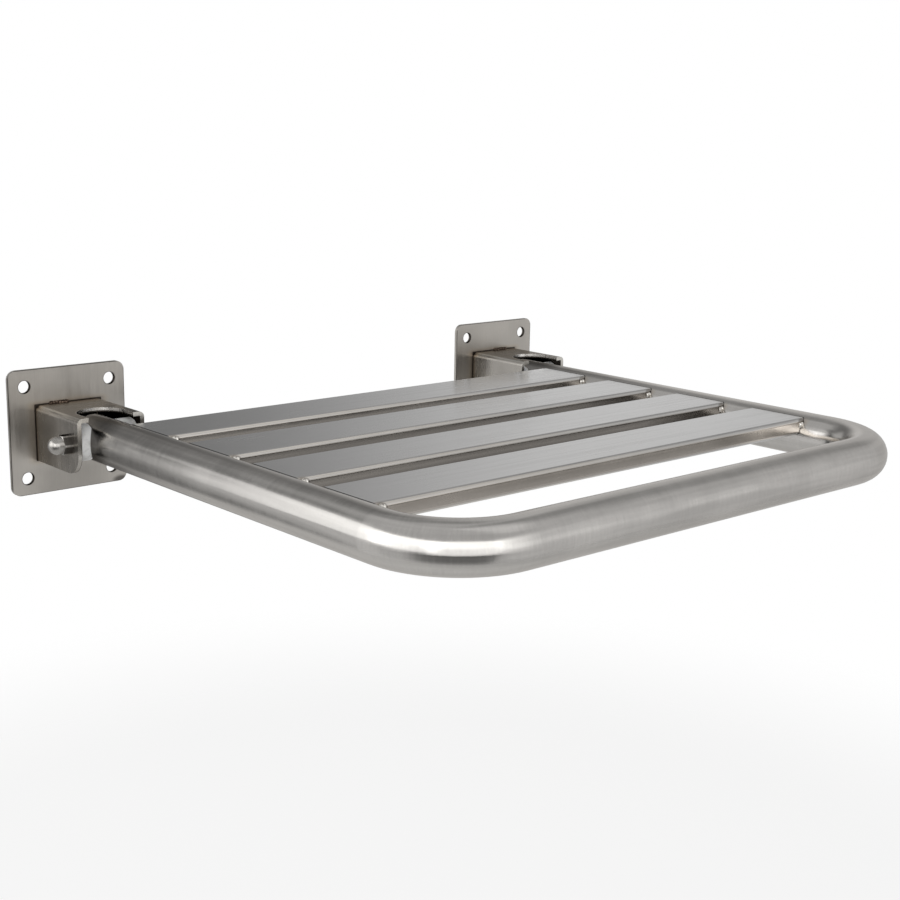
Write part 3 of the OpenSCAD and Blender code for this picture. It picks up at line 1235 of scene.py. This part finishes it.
@dataclass
class SeatFrame:
    """The bent tube and the four slats across it."""

    tube: BrushedSteel = field(default_factory=lambda: BrushedSteel(
        "tube_brushed_round", GrainLay.ROUND_TUBE, rough=0.20, stretch=0.5,
        groove=0.32 * MM, groove_run=7 * MM, depth=0.0015 * MM, contrast=0.08, blotch=0.05,
        rough_spread=0.015, wipe=0.07, edge_tint=(0.88, 0.86, 0.84),
        tint=WeldTintAndShade(reach=6 * MM, strength=0.5)))
    slat: BrushedSteel = field(default_factory=lambda: BrushedSteel(
        "slat_brushed_lengthwise", GrainLay.ALONG_X, colour=(0.50, 0.493, 0.487), rough=0.22,
        stretch=0.4, groove=0.5 * MM, groove_run=45 * MM, depth=0.003 * MM, contrast=0.05,
        blotch=0.04, slat_highlight_and_shade=SlatHighlightAndShade(), tint=WeldTintAndShade(reach=6 * MM, strength=0.5)))

    def build(self) -> None:
        """Dresses the tube and the slats."""
        dress("seat_frame_tube", self.tube.material())
        slats = self.slat.material()
        for number in range(1, SIZES.slats + 1):
            dress(f"slat_{number}", slats)


@dataclass(frozen=True)
class BeadShape:
    """How a weld bead is drawn: its thickness and its ripples."""

    radius: float
    ripple: float
    rise: float = 0.12
    sides: int = 14
    steps: int = 6
    wander: float = 0.10
    lump_scale: float = 700.0
    phase_range: float = 9.0

    def sweep(self, mesh: bmesh.types.BMesh, start: Vector, end: Vector,
              seed: int) -> None:
        """Draws one bead with round ends along a straight line.

        Args:
            mesh: the mesh to add it to.
            start: middle of one end.
            end: middle of the other end.
            seed: makes the bead unlike the others.
        """
        axis = (end - start).normalized()
        side = axis.orthogonal().normalized()
        up = axis.cross(side)
        length = (end - start).length
        count = max(2, round(length / self.ripple)) * self.steps
        draw = random.Random(seed)
        phase = Vector([draw.uniform(0, self.phase_range) for _ in range(3)])
        rings = []
        reach = length + 2 * self.radius
        for index in range(1, count):
            at = reach * index / count - self.radius
            beyond = max(-at, at - length, 0.0) / self.radius
            taper = math.sqrt(max(0.0, 1 - beyond**2))
            wave = (at / self.ripple) % 1.0
            size = self.radius * taper * (1 - self.rise + self.rise * math.sin(math.pi * wave))
            ring = []
            for corner in range(self.sides):
                angle = math.tau * corner / self.sides
                out = side * math.cos(angle) + up * math.sin(angle)
                rough = 1 + self.wander * noise.noise(
                    (start + axis * at + out * self.radius) * self.lump_scale + phase)
                ring.append(mesh.verts.new(start + axis * at + out * size * min(rough, 1.0)))
            rings.append(ring)
        for one, other in zip(rings, rings[1:]):
            for corner in range(self.sides):
                after = (corner + 1) % self.sides
                mesh.faces.new((one[corner], one[after], other[after], other[corner]))
        mesh.faces.new(list(reversed(rings[0])))
        mesh.faces.new(rings[-1])


@dataclass
class WeldBeads:
    """All welds: tacks and seams on the slats, and seams on the brackets."""

    tack: BeadShape = BeadShape(radius=2.5 * MM, ripple=2.6 * MM, rise=0.3, wander=0.12)
    slat_seam: BeadShape = BeadShape(radius=2.3 * MM, ripple=1.9 * MM)
    bracket_seam: BeadShape = BeadShape(radius=1.85 * MM, ripple=1.7 * MM, rise=0.16)
    tack_from: float = 2.6 * MM
    tack_behind: float = 0.7 * MM
    left_tack_drop: float = 0.3 * MM
    right_tack_drop: float = 1.8 * MM
    web_from_share: float = 0.2
    web_to_share: float = 0.52
    finish: WeldMetal = WeldMetal("weld_bead", bright=(0.84, 0.81, 0.76),
                                  oxide=(0.05, 0.036, 0.028), oxide_share=0.26)
    burnt: WeldMetal = WeldMetal("weld_bead_burnt", bright=(0.20, 0.145, 0.11),
                                 oxide=(0.035, 0.024, 0.018), oxide_share=0.46)

    def piece(self, name: str, node: str, body: Body, mesh: bmesh.types.BMesh,
              material: bpy.types.Material) -> None:
        """Makes an object of a mesh, in the place of a CAD node.

        Args:
            name: name of the new piece.
            node: the CAD node that it stands for.
            body: the body that it moves with.
            mesh: its mesh, which is used up.
            material: its finish.
        """
        bmesh.ops.recalc_face_normals(mesh, faces=mesh.faces)
        for face in mesh.faces:
            face.smooth = True
        made = add_mesh(name, mesh, material)
        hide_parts(node)
        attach(made, body.value)
        LOG.info("built %s with %d faces", name, len(made.data.polygons))

    def slat_beads(self, number: int, material: bpy.types.Material) -> None:
        """Builds the two tacks and two seams of one slat.

        Args:
            number: the slat, counted from 1 at the wall.
            material: the beads' finish.
        """
        size = SIZES
        front = size.slat_front_y(number)
        tack_y = self.tack_behind - front
        mesh = bmesh.new()
        for side in Side:
            seed = number * 10 + side.value
            drop = self.right_tack_drop if side is Side.RIGHT else self.left_tack_drop
            tack_z = size.tack_z - drop
            self.tack.sweep(
                mesh,
                Vector((side.value * (size.tack_x - self.tack_from), tack_y, tack_z)),
                Vector((side.value * size.tack_x, tack_y, tack_z)),
                seed,
            )
            seam_x = side.value * size.side_x_at(size.slat_foot_z)
            inset = size.slat_edge_r * 2 + self.slat_seam.radius
            self.slat_seam.sweep(
                mesh,
                Vector((seam_x, inset - front, size.slat_foot_z)),
                Vector((seam_x, size.slat_depth - inset - front, size.slat_foot_z)),
                seed + 100,
            )
        self.piece(f"slat_{number}_beads", f"slat_{number}_welds", Body.SEAT, mesh, material)

    def bracket_beads(self, side: Side, material: bpy.types.Material) -> None:
        """Builds the seam over one bracket's web and the two inside its ears.

        Args:
            side: which bracket.
            material: the beads' finish.
        """
        size = SIZES
        radius = self.bracket_seam.radius
        web_w = 2 * size.ear_out_x
        mesh = bmesh.new()

        def point(out: float, z: float) -> Vector:
            """A point on the plate's face, measured outwards from the hinge."""
            return Vector((side.value * (size.arm_x + out), -size.plate_t, z))

        self.bracket_seam.sweep(
            mesh,
            point(size.ear_out_x - web_w * self.web_to_share + radius, size.web_top_z),
            point(size.ear_out_x - web_w * self.web_from_share - radius, size.web_top_z),
            side.value + 3,
        )
        for sign in (-1, 1):
            self.bracket_seam.sweep(
                mesh,
                point(sign * size.ear_in_x, size.ear_foot_z + 2 * radius),
                point(sign * size.ear_in_x, size.web_in_z - 1.5 * radius),
                side.value + sign + 7,
            )
        self.piece(f"{side.word}_bracket_beads", f"{side.word}_bracket_welds",
                   Body.WALL, mesh, material)

    def build(self) -> None:
        """Builds every bead."""
        material = self.finish.material()
        for number in range(1, SIZES.slats + 1):
            self.slat_beads(number, material)
        burnt = self.burnt.material()
        for side in Side:
            self.bracket_beads(side, burnt)


@dataclass(frozen=True)
class SoftBox:
    """A large lamp behind white cloth, turned towards the seat."""

    name: str
    azimuth: float
    elevation: float
    width: float
    height: float
    radiance: float
    roll: float = 0.0
    distance: float = 2.0
    aim: Triple = (0.0, -0.22, 0.0)

    def hang(self) -> None:
        """Hangs the lamp."""
        light = bpy.data.lights.new(self.name, "AREA")
        light.shape = "RECTANGLE"
        light.size, light.size_y = self.width, self.height
        light.energy = self.radiance * math.pi * self.width * self.height
        lamp = add_object(self.name, light)
        turn, rise = math.radians(self.azimuth), math.radians(self.elevation)
        away = Vector((math.sin(turn) * math.cos(rise), math.cos(turn) * math.cos(rise),
                       math.sin(rise)))
        lamp.location = Vector(self.aim) + away * self.distance
        facing = away.to_track_quat("Z", "Y").to_matrix()
        rolled = facing @ Matrix.Rotation(math.radians(self.roll), 3, "Z")
        lamp.rotation_euler = rolled.to_euler()
        lamp.visible_camera = False


@dataclass(frozen=True)
class Card:
    """A pale or dark card on the walls of the room, seen only in the gloss."""

    grey: float
    azimuth: tuple[float, float, float, float]
    height: tuple[float, float, float, float]

    def over(self, graph: NodeGraph, tone: Number, azimuth: Number, height: Number) -> Number:
        """Lays the card over the tone of the room.

        Args:
            graph: the tree to build in.
            tone: the tone behind the card.
            azimuth: direction round the room, in degrees from +Y towards +X.
            height: angle above the horizon, in degrees.

        Returns:
            The tone with the card.
        """
        share = graph.times(graph.band(azimuth, *self.azimuth),
                            graph.band(height, *self.height))
        return graph.blend(share, tone, self.grey)


@dataclass
class Studio:
    """A pale round floor, a white background and soft lamps."""

    floor_z: float = -0.47
    floor_r: float = 0.95
    floor_at: tuple[float, float] = (0.02, -0.12)
    floor_fades_from: float = 0.5
    floor_white: float = 0.86
    floor_gloss: float = 0.5
    floor_paint: Triple = (0.82, 0.82, 0.81)
    floor_corners: int = 96
    room_grey: float = 0.24
    gloss_grey: float = 0.68
    cards: tuple[Card, ...] = (
        Card(0.22, (-181, -180, -110, -86), (-60, -48, 6, 18)),
        Card(0.82, (-66, -58, -30, -20), (-50, -40, -10, -2)),
        Card(0.80, (34, 46, 50, 60), (-40, -10, 20, 32)),
        Card(0.76, (104, 124, 176, 181), (-48, -20, 26, 40)),
        Card(1.00, (124, 142, 190, 191), (-8, 4, 30, 42)),
        Card(0.42, (56, 68, 84, 112), (20, 32, 90, 91)),
        Card(0.24, (-32, -26, 28, 48), (-6, 4, 33, 42)),
        Card(0.25, (-33, -28, -16, -6), (-50, -40, -6, 4)),
        Card(0.42, (-14, -6, 12, 20), (-50, -40, -14, -6)),
        Card(0.24, (14, 24, 34, 44), (-50, -40, -6, 4)),
        Card(0.26, (-4, 8, 28, 44), (30, 34, 38, 44)),
        Card(0.05, (-32, -28, -18, -10), (-26, -10, 18, 27)),
        Card(0.64, (-14, -8, 16, 25), (-10, 0, 21, 29)),
        Card(0.90, (-60, -50, -28, -21), (16, 24, 35, 43)),
        Card(0.92, (68, 92, 140, 170), (44, 58, 90, 91)),
        Card(0.40, (2, 16, 48, 60), (38, 46, 56, 66)),
        Card(1.70, (129, 178, 181, 182), (-8, 4, 30, 42)),
    )
    lamps: tuple[SoftBox, ...] = (
        SoftBox("softbox_left", -94, 15.5, 2.4, 1.4, 1.5),
        SoftBox("softbox_camera_side", -147, 14, 2.4, 1.5, 1.5),
        SoftBox("softbox_back_left", -57.5, 16, 1.4, 1.35, 1.12, roll=10),
    )

    def background(self) -> None:
        """Builds the world: white to the camera, cards to the gloss, else grey."""
        world = bpy.data.worlds.new("studio")
        world.use_nodes = True
        bpy.context.scene.world = world
        graph = NodeGraph(world.node_tree)
        x, y, z = graph.parts(graph.node("TexCoord").outputs["Generated"])
        azimuth = graph.maths("DEGREES", graph.maths("ARCTAN2", x, y))
        height = graph.maths("DEGREES", graph.maths("ARCSINE", z))
        gloss: Number = self.gloss_grey
        for card in self.cards:
            gloss = card.over(graph, gloss, azimuth, height)
        tone = self.by_ray(graph, 1.0, gloss, self.room_grey)
        shader = graph.node("Background")
        graph.plug(graph.grey(tone), shader.inputs["Color"])
        graph.plug(shader.outputs[0], graph.node("OutputWorld").inputs[0])

    def by_ray(self, graph: NodeGraph, camera: Number, gloss: Number, rest: Number) -> Number:
        """Picks a term by the kind of ray.

        Args:
            graph: the tree to build in.
            camera: the term for what the camera sees directly.
            gloss: the term for what is seen in gloss and through glass.
            rest: the term for all other rays.

        Returns:
            The term.
        """
        rays = graph.node("LightPath").outputs
        mirrored = graph.most(rays["Is Glossy Ray"], rays["Is Transmission Ray"])
        return graph.blend(rays["Is Camera Ray"], graph.blend(mirrored, rest, gloss), camera)

    def floor(self) -> None:
        """Lays the floor, whose edge fades into the white background."""
        mesh = bmesh.new()
        bmesh.ops.create_circle(mesh, cap_ends=True, segments=self.floor_corners,
                                radius=self.floor_r)
        graph = PieceGraph("pale_floor")
        away = graph.length(graph.x, graph.y)
        paint = graph.feed(graph.node("BsdfDiffuse"), Color=(*self.floor_paint, 1.0))
        white = graph.feed(graph.node("Emission"), Strength=1.0)
        floor = graph.node("MixShader")
        share = self.by_ray(graph, self.floor_white, self.floor_gloss, 0.0)
        graph.plug(share, floor.inputs[0])
        graph.plug(paint.outputs[0], floor.inputs[1])
        graph.plug(white.outputs[0], floor.inputs[2])
        faded = graph.node("MixShader")
        graph.plug(graph.span(away, self.floor_fades_from, self.floor_r), faded.inputs[0])
        graph.plug(floor.outputs[0], faded.inputs[1])
        graph.plug(graph.node("BsdfTransparent").outputs[0], faded.inputs[2])
        graph.plug(faded.outputs[0], graph.node("OutputMaterial").inputs[0])
        made = add_mesh("studio_floor", mesh, graph.material)
        made.location = (*self.floor_at, self.floor_z)

    def build(self) -> None:
        """Sets up the background, the floor and the lamps."""
        self.background()
        self.floor()
        for lamp in self.lamps:
            lamp.hang()
        bpy.context.scene.view_settings.view_transform = "Standard"
        LOG.info("set up the studio with %d lamps", len(self.lamps))


@dataclass(frozen=True)
class PhotoCamera:
    """The camera that sees the seat as the picture does."""

    place: Triple = (-0.6876, -0.95412, 0.22104)
    yaw: float = -41.645
    pitch: float = 12.727
    roll: float = 1.068
    focal_px: float = 1461.49
    frame_px: float = 900.0
    sensor: float = 36.0
    clip_from: float = 0.02

    def build(self) -> None:
        """Sets up the camera."""
        yaw, pitch, roll = (math.radians(v) for v in (self.yaw, self.pitch, self.roll))
        back = Vector((math.sin(yaw) * math.cos(pitch), -math.cos(yaw) * math.cos(pitch),
                       math.sin(pitch)))
        right = (-back).cross(Vector((0, 0, 1))).normalized()
        up = right.cross(-back)
        turned_right = right * math.cos(roll) + up * math.sin(roll)
        turned_up = up * math.cos(roll) - right * math.sin(roll)
        lens = bpy.data.cameras.new("photo_camera")
        lens.sensor_fit = "HORIZONTAL"
        lens.sensor_width = self.sensor
        lens.lens = self.focal_px / self.frame_px * self.sensor
        lens.clip_start = self.clip_from
        camera = add_object("photo_camera", lens)
        axes = Matrix((turned_right, turned_up, back)).transposed().to_4x4()
        camera.matrix_world = Matrix.Translation(Vector(self.place)) @ axes
        bpy.context.scene.camera = camera


def main() -> None:
    """Builds the whole scene in order."""
    logging.basicConfig(level=logging.INFO, format="%(message)s")
    PhotoCamera().build()
    Studio().build()
    WallPlates().build()
    HingeBrackets().build()
    HingeHardware().build()
    SeatFrame().build()
    WeldBeads().build()


if __name__ == "__main__":
    main()
